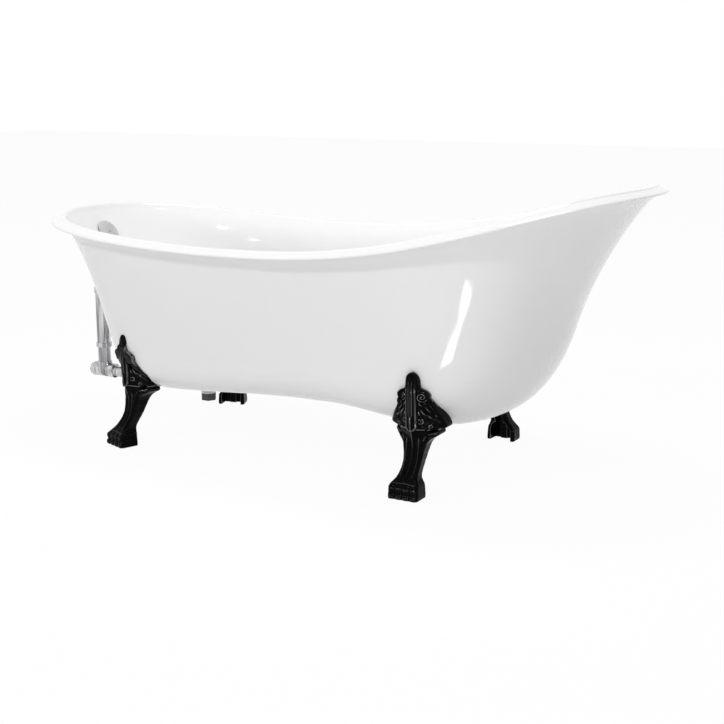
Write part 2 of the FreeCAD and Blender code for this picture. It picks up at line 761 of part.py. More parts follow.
def make_stopper():
    """Cap, seal, plunger, cartridge and spring of the push stopper, in its closed place."""
    top = drain_levels()["flange_top"]
    cap_bottom = top + seal_thickness + 0.3
    boss_bottom = cap_bottom - 8.0
    thread = plunger_radius + thread_gap
    cap = on_drain([(0, cap_bottom + stopper_dome + 1.5), (0, boss_bottom + 7.0), (thread, boss_bottom + 7.0),
                    (thread, boss_bottom), (8.0, boss_bottom), (8.0, cap_bottom),
                    (stopper_radius, cap_bottom), (stopper_radius, cap_bottom + 2.5),
                    (stopper_radius * 0.7, cap_bottom + stopper_dome)])
    seal = on_drain([(8.1, cap_bottom - seal_thickness), (stopper_radius - 2.0, cap_bottom - seal_thickness),
                     (stopper_radius - 2.0, cap_bottom), (8.1, cap_bottom)])
    cartridge_top = hub_bottom + hub_height + 18.0
    cartridge_bottom = cartridge_top - cartridge_length
    cavity_top = cartridge_top - 4.0
    cavity_bottom = cartridge_bottom + 2.0
    cavity = cartridge_radius - 1.3
    ledge = hub_bottom + hub_height
    cartridge = on_drain([(0, cartridge_bottom), (cartridge_radius, cartridge_bottom),
                          (cartridge_radius, ledge),
                          (cartridge_radius + 2.5, ledge), (cartridge_radius + 2.5, ledge + 3.0),
                          (cartridge_radius, ledge + 3.0), (cartridge_radius, cartridge_top),
                          (plunger_radius + seat_gap, cartridge_top), (plunger_radius + seat_gap, cavity_top),
                          (cavity, cavity_top), (cavity, cavity_bottom), (0, cavity_bottom)])
    spring_height = 9.0
    collar_bottom = cavity_bottom + spring_height
    collar_top = collar_bottom + 4.0
    plunger = on_drain([(0, collar_bottom), (cavity - seat_gap, collar_bottom),
                        (cavity - seat_gap, collar_top),
                        (plunger_radius, collar_top), (plunger_radius, boss_bottom + 6.5),
                        (0, boss_bottom + 6.5)])
    radius = cavity - spring_wire - 0.4
    start = cavity_bottom + spring_wire / 2 + 0.1
    rise = spring_height - spring_wire - 0.2
    helix = Part.makeHelix(rise / spring_turns, rise, radius)
    wire_face = Part.Wire([Part.makeCircle(spring_wire / 2, Vector(radius, 0, 0), Vector(0, 1, 0))])
    spring = Part.Wire(helix.Edges).makePipeShell([wire_face], True, True)
    spring.translate(Vector(drain_x, 0, start))
    return cap, seal, plunger, cartridge, spring


# ---- overflow through both walls

def overflow_frame():
    """The middle of the overflow hole on the skirt and the direction out of the tub there."""
    level = 0.5
    for _ in range(40):
        x = plan_xy(math.pi, reach(skirt_drain_end, level), reach(skirt_slipper_end, level), 1.0, 0.0)[0]
        bottom = underside_height(x)
        level = (overflow_height - bottom) / (crest_height(-1.0) - skirt_drop - bottom)
    middle = moved_out(skirt_point, math.pi, level, 0.0)
    outward = moved_out(skirt_point, math.pi, level, 1.0) - middle
    outward.y = 0.0
    outward.normalize()
    return Vector(middle.x, 0, middle.z), outward


def along_overflow(distance):
    middle, outward = overflow_frame()
    return middle + outward * distance


def overflow_hole():
    return rod(overflow_hole_radius, along_overflow(-60), along_overflow(30))


def on_overflow(profile):
    middle, outward = overflow_frame()
    return turned(profile, middle, outward)


def well_volume(offset, levels):
    """Everything inside the bathing surface moved out by offset."""
    def wall(level):
        return lambda angle: moved_out(basin_point, angle, level, offset)
    rings = [ring(wall(level)) for level in levels]
    foot = flat_ring(wall(levels[0]), 150.0)
    head = flat_ring(wall(levels[-1]), crest_low + slipper_rise + 80.0)
    faces = straight([foot, rings[0]]) + smooth(rings) + straight([rings[-1], head])
    return sewn(faces + [Part.Face(foot), Part.Face(head)])


def ring_on_overflow(inner, outer, start, end):
    return tube(outer, inner, along_overflow(start), along_overflow(end))


def make_overflow_seals(basin):
    """Outer gasket, spacer between the walls and inner gasket, each shaped by the wall it meets."""
    outer = ring_on_overflow(overflow_hole_radius, elbow_flange_radius - 1.0, -8.0, gasket_thickness)
    outer = outer.cut(hull_volume(seat_gap, 0.0))
    spacer = ring_on_overflow(overflow_hole_radius, elbow_flange_radius + 4.0, -skirt_wall - 20.0, 0.0)
    spacer = spacer.common(hull_volume(-skirt_wall - seat_gap, 0.0))
    spacer = spacer.cut(well_volume(basin_wall + skin_gap, basin_outer_levels()))
    inner = ring_on_overflow(overflow_hole_radius, overflow_cover_radius - 2.0, cover_back, 0.0)
    inner = inner.common(well_volume(-seat_gap, basin_levels[1:])).cut(basin)
    return outer, spacer, inner


def make_nipple():
    """Threaded tube through both walls, with a cross bar that takes the cover's screw."""
    end = gasket_thickness + seat_gap + elbow_flange_thickness
    body = ring_on_overflow(overflow_nipple_radius - 3.0, overflow_nipple_radius, cover_back + 1.0, end)
    outward = overflow_frame()[1]
    bar = Part.makeBox(8.0, 2 * overflow_nipple_radius - 3.0, 5.0,
                       Vector(-4.0, 1.5 - overflow_nipple_radius, 0))
    bar.Placement = FreeCAD.Placement(along_overflow(cover_back + 6.0),
                                      FreeCAD.Rotation(Vector(0, 0, 1), outward))
    body = body.fuse(bar)
    return body.cut(rod(overflow_screw_radius + thread_gap, along_overflow(cover_back), along_overflow(0)))


def make_cover():
    """Domed overflow plate with slots at its foot, and the screw that holds it."""
    front = cover_back - overflow_cover_thickness
    cover = on_overflow([(0, cover_back - 3.0), (0, front), (overflow_cover_radius * 0.75, front + 1.6),
                         (overflow_cover_radius - 1.5, front + 4.0), (overflow_cover_radius, front + 6.0),
                         (overflow_cover_radius, cover_back - 0.2),
                         (overflow_cover_radius - 2.0, cover_back - 0.2),
                         (overflow_cover_radius - 2.0, cover_back - 3.0)])
    for y in (-14.0, 0.0, 14.0):
        slot_top = along_overflow(cover_back - 4.0) + Vector(0, y, -overflow_cover_radius + 9.0)
        cover = cover.cut(Part.makeBox(30.0, 8.0, 40.0, Vector(slot_top.x - 6.0, y - 4.0, slot_top.z - 44.0)))
    hole = rod(overflow_screw_radius + 0.3, along_overflow(front - 2.0), along_overflow(cover_back + 1.0))
    screw = on_overflow([(0, front - 2.2), (4.2, front - 1.4), (5.0, front - 0.3),
                         (overflow_screw_radius, front - 0.1), (overflow_screw_radius, cover_back + 11.5),
                         (0, cover_back + 12.0)])
    return cover.cut(hole), screw


# ---- exposed pipes

def elbow_line():
    """Centre line of the overflow elbow: up the tub's flare, then square into the wall."""
    flange_start = gasket_thickness + seat_gap
    end = along_overflow(flange_start + elbow_flange_thickness)
    outward = overflow_frame()[1]
    tilt = math.atan2(-outward.z, -outward.x)
    bend_start = end + outward * elbow_straight
    points = []
    for k in range(4):
        a = tilt + (math.pi / 2 - tilt) * k / 3
        points.append(Vector(bend_start.x - elbow_bend * (math.sin(a) - math.sin(tilt)), 0,
                             bend_start.z - elbow_bend * (math.cos(tilt) - math.cos(a))))
    foot = Vector(standpipe_x, 0, standpipe_top - elbow_tail_overlap)
    neck = Vector(standpipe_x, 0, standpipe_top + 24.0)
    curve = Part.BSplineCurve()
    curve.interpolate(Points=[neck] + points[::-1] + [end], InitialTangent=Vector(0, 0, 1) * 60.0,
                      FinalTangent=outward * -20.0)
    return Part.Wire([Part.makeLine(foot, neck), curve.toShape()]), foot, end


def make_elbow():
    line, foot, end = elbow_line()
    outer = line.makePipeShell([Part.Wire([Part.makeCircle(elbow_radius, foot, Vector(0, 0, 1))])],
                               True, False)
    inner = line.makePipeShell([Part.Wire([Part.makeCircle(elbow_radius - 2.0, foot, Vector(0, 0, 1))])],
                               True, False)
    flange_start = gasket_thickness + seat_gap
    flange_end = flange_start + elbow_flange_thickness
    flange = rod(elbow_flange_radius, along_overflow(flange_start), along_overflow(flange_end + 3.0))
    socket = rod(overflow_nipple_radius + thread_gap, along_overflow(flange_start - 1.0),
                 along_overflow(flange_end))
    return flange.fuse(outer).cut(inner).cut(socket)


def make_pipes():
    """Standpipe and riser tubes, and the waste pipe between the tee and the drain shoe."""
    x = standpipe_x
    standpipe = tube(standpipe_radius, standpipe_radius - pipe_wall, Vector(x, 0, standpipe_bottom),
                     Vector(x, 0, standpipe_top))
    riser = tube(riser_radius, riser_radius - pipe_wall, Vector(x, 0, tee_riser_seat),
                 Vector(x, 0, riser_top))
    waste = tube(waste_pipe_radius, waste_pipe_radius - pipe_wall, Vector(tee_thread_right - 14.0,
                                                                          0, waste_axis_z),
                 Vector(drain_x - shoe_radius + shoe_wall - 2.0, 0, waste_axis_z))
    return standpipe, riser, waste


def make_tee():
    """Brass tee: socket up for the riser, slip socket to the right and a cleanout on the left."""
    x = standpipe_x
    left = Vector(tee_left, 0, waste_axis_z)
    right = Vector(tee_thread_right, 0, waste_axis_z)
    body = rod(tee_radius, left, Vector(tee_body_right, 0, waste_axis_z))
    body = body.fuse(rod(tee_socket_radius, Vector(tee_body_right - 5.0, 0, waste_axis_z), right))
    body = body.fuse(Part.makeCylinder(tee_neck_radius, tee_neck_top - waste_axis_z,
                                       Vector(x, 0, waste_axis_z)))
    body = body.cut(rod(waste_pipe_radius + 2.0 * seat_gap, left - Vector(1, 0, 0), right + Vector(1, 0, 0)))
    body = body.cut(Part.makeCylinder(riser_radius - pipe_wall, 60, Vector(x, 0, waste_axis_z)))
    return body.cut(Part.makeCylinder(riser_radius + seat_gap, 60, Vector(x, 0, tee_riser_seat)))


def make_tee_cap():
    """Rounded screw cap of the cleanout."""
    plug = waste_pipe_radius + seat_gap
    length = tee_left - tee_cap_left
    profile = [(0, -10.0), (plug - 3.0, -10.0), (plug, -10.0), (plug, 0.2), (tee_radius + 0.9, 0.2),
               (tee_radius + 0.9, 5.0), (tee_radius - 1.0, 7.0), (tee_radius * 0.9, length * 0.62),
               (tee_radius * 0.62, length * 0.88), (tee_radius * 0.25, length), (0, length)]
    return turned(profile, Vector(tee_left, 0, waste_axis_z), Vector(-1, 0, 0))


def make_slip_joints():
    """Nuts and tapered washers of the four slip joints."""
    up = Vector(0, 0, 1)
    right = Vector(1, 0, 0)
    left = Vector(-1, 0, 0)
    elbow_at = Vector(standpipe_x, 0, standpipe_top)
    tee_at = Vector(tee_thread_right, 0, waste_axis_z)
    shoe_at = Vector(shoe_socket_end, 0, waste_axis_z)
    nuts = {"elbow_slip_nut": slip_nut(collar_radius, standpipe_radius, elbow_radius, elbow_at, up),
            "tee_slip_nut": slip_nut(tee_radius + 1.5, tee_socket_radius, waste_pipe_radius, tee_at, right),
            "shoe_slip_nut": slip_nut(collar_radius, shoe_socket_radius, waste_pipe_radius, shoe_at, left)}
    washers = [slip_washer(standpipe_radius, elbow_radius, elbow_at, up),
               slip_washer(tee_socket_radius, waste_pipe_radius, tee_at, right),
               slip_washer(shoe_socket_radius, waste_pipe_radius, shoe_at, left)]
    return nuts, Part.Compound(washers)


def make_riser_collar():
    """Collar that stops the standpipe on the riser, with an O-ring groove's ring inside."""
    bore = riser_radius + seat_gap
    socket = standpipe_radius + seat_gap
    profile = [(bore, collar_bottom), (collar_radius - 1.0, collar_bottom),
               (collar_radius, collar_bottom + 1.0),
               (collar_radius, collar_top - 1.0), (collar_radius - 1.0, collar_top), (socket, collar_top),
               (socket, standpipe_bottom - 0.3), (bore, standpipe_bottom - 0.3)]
    return turned(profile, Vector(standpipe_x, 0, 0), Vector(0, 0, 1))


# ---- board screws

def make_block_screws():
    """Two screws in each timber block, through the board's underside from the cradle side."""
    screws = []
    for x in block_places():
        for side in (-1, 1):
            for step in (-1, 1):
                y = side * block_place_y + step * block_length * 0.28
                top = basin_floor_height(x) - basin_wall - skin_gap - 3.0
                screws.append(Part.makeCylinder(block_screw_radius, board_thickness + block_screw_bite - 3.0,
                                                Vector(x, y, top - board_thickness - block_screw_bite + 3.0)))
    return Part.Compound(screws)


def export(name, shape):
    shape.exportStep("parts/" + name + ".step")


def main():
    studs = stud_frames()
    basin = make_basin()
    export("inner_basin", basin)
    export("outer_skirt", make_skirt())
    screws = make_block_screws()
    export("support_board", make_board().cut(screws))
    export("board_blocks", make_blocks(screws))
    export("block_screws", screws)
    export("cradle_slipper", make_cradle(stud_slipper_x, stud_slipper_far_x, studs))
    export("cradle_drain", make_cradle(stud_drain_x, stud_drain_x, studs))
    for name, foot in make_feet(studs).items():
        export(name, foot)
    rods, washers, nuts = make_foot_fasteners(studs)
    export("foot_studs", rods)
    export("foot_washers", washers)
    export("foot_nuts", nuts)
    export("drain_strainer", make_strainer())
    putty, gasket = make_drain_seals()
    export("drain_flange_seal", putty)
    export("drain_shoe_gasket", gasket)
    export("drain_shoe", make_shoe())
    export("shoe_outlet_nut", make_tail_nut())
    cap, seal, plunger, cartridge, spring = make_stopper()
    export("stopper_cap", cap)
    export("stopper_seal", seal)
    export("stopper_plunger", plunger)
    export("stopper_cartridge", cartridge)
    export("stopper_spring", spring)
    outer, spacer, inner = make_overflow_seals(basin)
    export("overflow_outer_gasket", outer)
    export("wall_spacer", spacer)
    export("overflow_inner_gasket", inner)
    export("overflow_nipple", make_nipple())
    cover, screw = make_cover()
    export("overflow_cover", cover)
    export("overflow_screw", screw)
    export("overflow_elbow", make_elbow())
    standpipe, riser, waste = make_pipes()
    export("standpipe", standpipe)
    export("riser_tube", riser)
    export("waste_pipe", waste)
    export("waste_tee", make_tee())
    export("tee_cap", make_tee_cap())
    joint_nuts, joint_washers = make_slip_joints()
    for name, nut in joint_nuts.items():
        export(name, nut)
    export("slip_washers", joint_washers)
    export("riser_collar", make_riser_collar())


main()
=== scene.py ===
import json
import math
import bpy
import numpy as np
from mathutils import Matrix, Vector


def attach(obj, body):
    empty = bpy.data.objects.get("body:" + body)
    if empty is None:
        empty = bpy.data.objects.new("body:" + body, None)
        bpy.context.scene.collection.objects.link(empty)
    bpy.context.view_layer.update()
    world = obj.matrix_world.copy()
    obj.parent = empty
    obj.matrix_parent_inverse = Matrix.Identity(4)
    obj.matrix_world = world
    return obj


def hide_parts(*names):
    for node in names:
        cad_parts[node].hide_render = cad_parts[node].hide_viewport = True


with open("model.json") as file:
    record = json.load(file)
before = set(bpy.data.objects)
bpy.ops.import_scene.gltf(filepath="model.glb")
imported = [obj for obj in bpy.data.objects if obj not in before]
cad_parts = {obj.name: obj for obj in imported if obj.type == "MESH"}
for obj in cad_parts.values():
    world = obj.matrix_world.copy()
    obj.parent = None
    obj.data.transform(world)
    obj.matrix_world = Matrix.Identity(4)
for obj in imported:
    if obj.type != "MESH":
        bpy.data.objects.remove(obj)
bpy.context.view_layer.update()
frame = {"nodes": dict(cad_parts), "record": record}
nodes = frame["nodes"]
mm = 0.001
print("frame loaded:", len(nodes), "nodes")


# ---------- shader helpers

class Value:
    # a number socket of one material: + - * on it, most and least add Math nodes
    def __init__(self, shade, socket):
        self.shade = shade
        self.socket = socket

    def math(self, operation, first, second):
        node = self.shade.node("ShaderNodeMath", {"operation": operation}, {0: first, 1: second})
        return Value(self.shade, node.outputs[0])

    def __add__(self, other): return self.math("ADD", self, other)
    def __radd__(self, other): return self.math("ADD", other, self)
    def __sub__(self, other): return self.math("SUBTRACT", self, other)
    def __mul__(self, other): return self.math("MULTIPLY", self, other)
    def __rmul__(self, other): return self.math("MULTIPLY", other, self)
    def most(self, other): return self.math("MAXIMUM", self, other)
    def least(self, other): return self.math("MINIMUM", self, other)


class Shade:
    # one node material, its Principled shader and its object coordinates
    def __init__(self, name, fixed):
        self.material = bpy.data.materials.new(name)
        self.material.use_nodes = True
        self.tree = self.material.node_tree
        self.tree.nodes.clear()
        self.surface = self.node("ShaderNodeBsdfPrincipled", {}, fixed)
        self.output = self.node("ShaderNodeOutputMaterial", {}, {"Surface": self.surface.outputs[0]})
        self.place = self.node("ShaderNodeTexCoord", {}, {}).outputs["Object"]

    def node(self, kind, settings, inputs):
        made = self.tree.nodes.new(kind)
        for key, value in settings.items():
            if key == "stops":
                while len(made.color_ramp.elements) < len(value):
                    made.color_ramp.elements.new(0.5)
                for element, (at, colour) in zip(made.color_ramp.elements, value):
                    element.position = at
                    element.color = (*colour, 1.0)
            else:
                setattr(made, key, value)
        for key, value in inputs.items():
            if isinstance(value, Value):
                value = value.socket
            if isinstance(value, bpy.types.NodeSocket):
                self.tree.links.new(value, made.inputs[key])
            else:
                made.inputs[key].default_value = value
        return made

    def noise(self, scale, detail=2.0, stretch=(1.0, 1.0, 1.0)):
        mapped = self.node("ShaderNodeMapping", {}, {"Vector": self.place, "Scale": stretch})
        made = self.node("ShaderNodeTexNoise", {}, {"Vector": mapped.outputs[0], "Scale": scale, "Detail": detail})
        return Value(self, made.outputs[0])

    def blend(self, amount, first, second):
        made = self.node("ShaderNodeMix", {"data_type": "RGBA"}, {0: amount, 6: (*first, 1.0), 7: (*second, 1.0)})
        return made.outputs[2]

    def set(self, socket, value):
        if isinstance(value, Value):
            value = value.socket
        self.tree.links.new(value, self.surface.inputs[socket])

    def bump(self, height, depth, strength=1.0):
        made = self.node("ShaderNodeBump", {}, {"Height": height, "Distance": depth, "Strength": strength})
        self.tree.links.new(made.outputs[0], self.surface.inputs["Normal"])


# ---------- mesh helpers

def meshObject(name, points, faces, material, body, sharpAngle=40.0):
    mesh = bpy.data.meshes.new(name)
    mesh.from_pydata(points.tolist(), [], faces.tolist() if hasattr(faces, "tolist") else faces)
    mesh.validate()
    mesh.polygons.foreach_set("use_smooth", np.ones(len(mesh.polygons), bool))
    mesh.set_sharp_from_angle(angle=math.radians(sharpAngle))
    mesh.materials.append(material)
    thing = bpy.data.objects.new(name, mesh)
    bpy.context.scene.collection.objects.link(thing)
    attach(thing, body)
    return thing


# quads of a grid of rows x columns, each direction closed or open
def gridFaces(rows, columns, closeRows=True, closeColumns=True):
    r = np.arange(rows if closeRows else rows - 1)
    c = np.arange(columns if closeColumns else columns - 1)
    r, c = np.meshgrid(r, c, indexing="ij")
    rNext = (r + 1) % rows
    cNext = (c + 1) % columns
    quads = np.stack([r * columns + c, r * columns + cNext, rNext * columns + cNext, rNext * columns + c], -1)
    return quads.reshape(-1, 4)


# signed volume = sum over triangles of a . (b x c) / 6; quads are split in two
def facesOutward(points, faces):
    a, b, c, d = (points[faces[:, k]] for k in range(4))
    volume = np.einsum("ij,ij->", a, np.cross(b, c)) + np.einsum("ij,ij->", a, np.cross(c, d))
    return faces if volume > 0 else faces[:, ::-1]


# a closed ring-shaped surface from rows of closed rings, in mm
def ringShell(name, rows, material, body, sharpAngle=40.0):
    points = rows.reshape(-1, 3) * mm
    faces = facesOutward(points, gridFaces(rows.shape[0], rows.shape[1]))
    return meshObject(name, points, faces, material, body, sharpAngle)


# ---------- materials

def whiteGel(name, look):
    shade = Shade(name, {"IOR": look["ior"], "Coat Roughness": 0.03})
    cloud = shade.noise(look["cloudScale"], 1.0)
    shade.set("Base Color", shade.blend(cloud, look["light"], look["dark"]))
    shade.set("Roughness", look["gloss"] + look["glossRange"] * shade.noise(9.0, 3.0))
    shade.set("Coat Weight", look["coat"] + 0.1 * cloud)
    shade.bump(shade.noise(look["waveScale"], 0.0), look["waveDepth"])
    return shade.material


def blackEnamel(name, look):
    shade = Shade(name, {"IOR": 1.10, "Coat IOR": 2.3, "Coat Roughness": 0.05})
    grit = shade.noise(look["gritScale"], 4.0)
    pool = shade.noise(look["poolScale"], 2.0)
    shade.set("Base Color", shade.blend(pool, look["deep"], look["worn"]))
    shade.set("Roughness", look["gloss"] + look["glossRange"] * grit)
    # the coat gathers on ridges: pointiness is 0.5 on a flat face and more where it is convex
    ridge = Value(shade, shade.node("ShaderNodeNewGeometry", {}, {}).outputs["Pointiness"])
    shade.set("Coat Weight", 0.004 + look["ridgeCoat"] * ((ridge - 0.512) * 22.0).most(0.0).least(1.0))
    shade.bump(grit * 0.35 + pool, look["depth"])
    return shade.material


def chromePlate(name, look):
    shade = Shade(name, {"Metallic": 1.0})
    # painted reflections: streaks of darker and lighter plating that run up and down stand in for reflected dark and
    # light surroundings, and the roughness follows the same streaks
    paintedReflection = ((shade.noise(look["paintedReflectionScale"], 1.0, look["stretch"]) - 0.38) * 4.0).most(0.0).least(1.0)
    shade.set("Base Color", shade.blend(paintedReflection, look["bright"], look["dull"]))
    shade.set("Roughness", look["gloss"] + look["glossRange"] * paintedReflection)
    shade.bump(shade.noise(look["waveScale"], 1.0), look["waveDepth"])
    return shade.material


def brushedMetal(name, look):
    shade = Shade(name, {"Metallic": 1.0})
    grain = shade.noise(look["grainScale"], 3.0, look["stretch"])
    spangle = shade.noise(look["spangleScale"], 1.0)
    shade.set("Base Color", shade.blend(spangle, look["bright"], look["dull"]))
    shade.set("Roughness", look["gloss"] + look["glossRange"] * grain)
    shade.bump(grain, look["depth"])
    return shade.material


def plainPlastic(name, look):
    shade = Shade(name, {"IOR": 1.46})
    speck = shade.noise(look["speckScale"], 4.0)
    cloud = shade.noise(look["cloudScale"], 1.0)
    shade.set("Base Color", shade.blend(cloud, look["light"], look["dark"]))
    shade.set("Roughness", look["gloss"] + look["glossRange"] * speck)
    shade.bump(speck, look["depth"])
    return shade.material


# grain = wave bands along the board, bent by noise
def woodGrain(name, look):
    shade = Shade(name, {"IOR": 1.45})
    mapped = shade.node("ShaderNodeMapping", {}, {"Vector": shade.place, "Scale": look["stretch"]})
    rings = shade.node("ShaderNodeTexWave", {"bands_direction": look["across"]},
                       {"Vector": mapped.outputs[0], "Scale": look["ringScale"], "Distortion": 6.0, "Detail": 3.0})
    ring = Value(shade, rings.outputs[1])
    shade.set("Base Color", shade.blend(ring, look["early"], look["late"]))
    shade.set("Roughness", 0.55 + 0.2 * ring)
    shade.bump(ring, 0.0003)
    return shade.material


gelLook = {"light": (0.90, 0.90, 0.90), "dark": (0.87, 0.87, 0.87), "ior": 1.49, "coat": 0.3,
           "gloss": 0.06, "glossRange": 0.05, "cloudScale": 2.5, "waveScale": 14.0, "waveDepth": 0.0004}
skirtLook = dict(gelLook, light=(0.83, 0.83, 0.83), dark=(0.80, 0.80, 0.80), ior=1.32, coat=0.05)
enamelLook = {"deep": (0.0005, 0.0005, 0.0005), "worn": (0.002, 0.002, 0.002), "gloss": 0.07, "glossRange": 0.10,
              "ridgeCoat": 0.9, "gritScale": 420.0, "poolScale": 60.0, "depth": 0.0007}
# the chrome's bright and dull are the two tones of its painted reflection streaks, bright holding the darker one
chromeLook = {"bright": (0.26, 0.26, 0.27), "dull": (0.66, 0.66, 0.67), "gloss": 0.05, "glossRange": 0.05,
              "paintedReflectionScale": 95.0, "stretch": (1.0, 1.0, 0.06), "waveScale": 55.0, "waveDepth": 0.0002}
calmChromeLook = dict(chromeLook, bright=(0.52, 0.52, 0.53), dull=(0.58, 0.58, 0.59), stretch=(1.0, 1.0, 1.0),
                      paintedReflectionScale=25.0)
zincLook = {"bright": (0.62, 0.62, 0.63), "dull": (0.45, 0.46, 0.47), "gloss": 0.28, "glossRange": 0.2,
            "grainScale": 240.0, "stretch": (0.1, 1.0, 1.0), "spangleScale": 90.0, "depth": 0.0002}
brassLook = dict(zincLook, bright=(0.66, 0.50, 0.24), dull=(0.45, 0.33, 0.15))
springLook = dict(zincLook, bright=(0.5, 0.5, 0.5), dull=(0.35, 0.35, 0.36), gloss=0.2)
whitePlasticLook = {"light": (0.90, 0.90, 0.89), "dark": (0.86, 0.86, 0.85), "gloss": 0.34, "glossRange": 0.14,
                    "speckScale": 700.0, "cloudScale": 22.0, "depth": 0.0002}
greyPlasticLook = dict(whitePlasticLook, light=(0.075, 0.075, 0.08), dark=(0.045, 0.045, 0.048))
rubberLook = dict(whitePlasticLook, light=(0.035, 0.035, 0.035), dark=(0.02, 0.02, 0.02), gloss=0.6)
puttyLook = dict(whitePlasticLook, light=(0.58, 0.56, 0.5), dark=(0.5, 0.48, 0.43), gloss=0.65)
plywoodLook = {"early": (0.64, 0.47, 0.30), "late": (0.48, 0.33, 0.19), "across": "Z", "stretch": (1.0, 4.0, 30.0),
               "ringScale": 5.0}
timberLook = {"early": (0.66, 0.50, 0.32), "late": (0.42, 0.27, 0.15), "across": "X", "stretch": (12.0, 1.0, 6.0),
              "ringScale": 4.0}

finishes = {
    "gel_white_inner": whiteGel("gelWhiteInner", gelLook),
    "gel_white_outer": whiteGel("gelWhiteOuter", skirtLook),
    "black_iron": blackEnamel("blackEnamelIron", enamelLook),
    "chrome": chromePlate("chromePlate", chromeLook),
    "zinc_steel": brushedMetal("zincSteel", zincLook),
    "brass_rough": brushedMetal("roughBrass", brassLook),
    "spring_steel": brushedMetal("springSteel", springLook),
    "white_plastic": plainPlastic("whitePlastic", whitePlasticLook),
    "grey_plastic": plainPlastic("greyPlastic", greyPlasticLook),
    "black_rubber": plainPlastic("blackRubber", rubberLook),
    "sealing_putty": plainPlastic("sealingPutty", puttyLook),
    "plywood": woodGrain("plywoodGrain", plywoodLook),
    "timber": woodGrain("timberGrain", timberLook),
}
# the long painted reflection streaks suit the pipes only, so the round plates get a nearly even plating with faint
# painted reflection blotches
calmChrome = chromePlate("calmChrome", calmChromeLook)
calmNodes = ("stopper_cap", "drain_strainer", "overflow_cover", "overflow_screw")
slotOf = {part["node"]: part["material_slot"] for part in frame["record"]["subparts"]}
for nodeName, node in nodes.items():
    for index in range(len(node.material_slots)):
        node.material_slots[index].material = calmChrome if nodeName in calmNodes else finishes[slotOf[nodeName]]
print("finishes made:", len(finishes))


# ---------- the tub's outline, in mm

rim = {"halfLength": 850.0, "halfWidth": 369.5, "planPower": 3.0, "fullness": 0.36, "taper": 0.10, "taperBase": -0.05,
       "crestLow": 566.0, "crestLowPlace": -0.2, "drainRise": 45.0, "slipperRise": 162.0,
       "lipWidth": 32.0, "lipDrop": 13.0, "edge": 4.0}
underside = {"low": 152.0, "arch": 39.0, "centre": 125.0, "reachLow": 910.0, "reachSlipper": 340.0}
skirtWalls = {"drain": (527.0, 72.0, 0.47, 145.0, 81.0, 2.2), "slipper": (449.0, 148.0, 0.38, 47.0, 183.0, 2.2),
              "side": (221.0, 116.0, 0.28, -41.0, 38.0, 6.0), "thickness": 4.5}
basinWalls = {"drain": (480.0, 70.0, 0.30, 268.0, 0.0, 2.0), "slipper": (330.0, 110.0, 0.30, 230.0, 148.0, 3.2),
              "side": (175.0, 95.0, 0.30, 18.0, 49.5, 10.0), "thickness": 5.0}
bathFloor = {"height": 218.0, "fall": 0.012, "drainX": -421.0, "seat": 214.0, "boss": 205.0}


# crest(u) = low + drainRise a^1.7 + slipperRise (1 - (1 - b^2.5)^1.5), a and b the shares towards each end
def crestHeight(u):
    a = np.clip((rim["crestLowPlace"] - u) / (1 + rim["crestLowPlace"]), 0, 1)
    b = np.clip((u - rim["crestLowPlace"]) / (1 - rim["crestLowPlace"]), 0, 1)
    return rim["crestLow"] + rim["drainRise"] * a ** 1.7 + rim["slipperRise"] * (1 - (1 - b ** 2.5) ** 1.5)


# underside(x) = low + arch cos^2(90 deg |x - centre| / reach)
def undersideHeight(x):
    span = np.where(x < underside["centre"], underside["reachLow"], underside["reachSlipper"])
    share = np.clip(np.abs(x - underside["centre"]) / span, 0, 1)
    return underside["low"] + underside["arch"] * np.cos(math.pi / 2 * share) ** 2


def floorHeight(x):
    return bathFloor["height"] + bathFloor["fall"] * (x - bathFloor["drainX"])


# reach(level) = base + turn sqrt(1 - (1 - min(level / turnLevel, 1))^2) + lean level + flare level^power
def wallReach(wall, level):
    base, turn, turnLevel, lean, flare, power = wall
    turned = np.minimum(1.0, level / turnLevel)
    return base + turn * np.sqrt(np.maximum(0, 1 - (1 - turned) ** 2)) + lean * level + flare * level ** power


# x = (slipper - drain) / 2 + (slipper + drain) / 2 u,  y = width sqrt(1 - |u|^3) (1 + taper u + 0.36 u^2),  u = cos
def planXY(angle, drain, slipper, width, taper):
    u = np.cos(angle)
    side = np.sign(np.sin(angle)) * np.sqrt(np.maximum(0, 1 - np.abs(u) ** rim["planPower"]))
    return (slipper - drain) / 2 + (slipper + drain) / 2 * u, width * side * (1 + taper * u + rim["fullness"] * u * u)


def wallPoint(walls, angle, level, bottomOf, topDrop):
    taper = rim["taperBase"] + (rim["taper"] - rim["taperBase"]) * level
    x, y = planXY(angle, wallReach(walls["drain"], level), wallReach(walls["slipper"], level),
                  wallReach(walls["side"], level), taper)
    bottom = bottomOf(x)
    return np.stack([x, y, bottom + (crestHeight(np.cos(angle)) - topDrop - bottom) * level], -1)


def skirtPoint(angle, level):
    return wallPoint(skirtWalls, angle, level, undersideHeight, rim["lipDrop"])


def basinPoint(angle, level):
    return wallPoint(basinWalls, angle, level, floorHeight, 0.0)


# a wall moved out by a distance along d(point)/d(angle) x d(point)/d(level)
def movedOut(surface, angle, level, distance):
    step = 1e-4
    around = surface(angle + step, level) - surface(angle - step, level)
    up = surface(angle, level + step) - surface(angle, np.maximum(0, level - step))
    normal = np.cross(around, up)
    normal /= np.linalg.norm(normal, axis=-1, keepdims=True)
    return surface(angle, level) + normal * distance


# the lip: out mm beyond the crest line in plan, and below it by a drop
def lipPoint(angle, out, below):
    inset = rim["lipWidth"] - out
    x, y = planXY(angle, rim["halfLength"] - inset, rim["halfLength"] - inset, rim["halfWidth"] - inset, rim["taper"])
    return np.stack([x, y, crestHeight(np.cos(angle)) - below + 0 * x], -1)


def lipSlope(out):
    return rim["lipDrop"] * (out / rim["lipWidth"]) ** 1.2


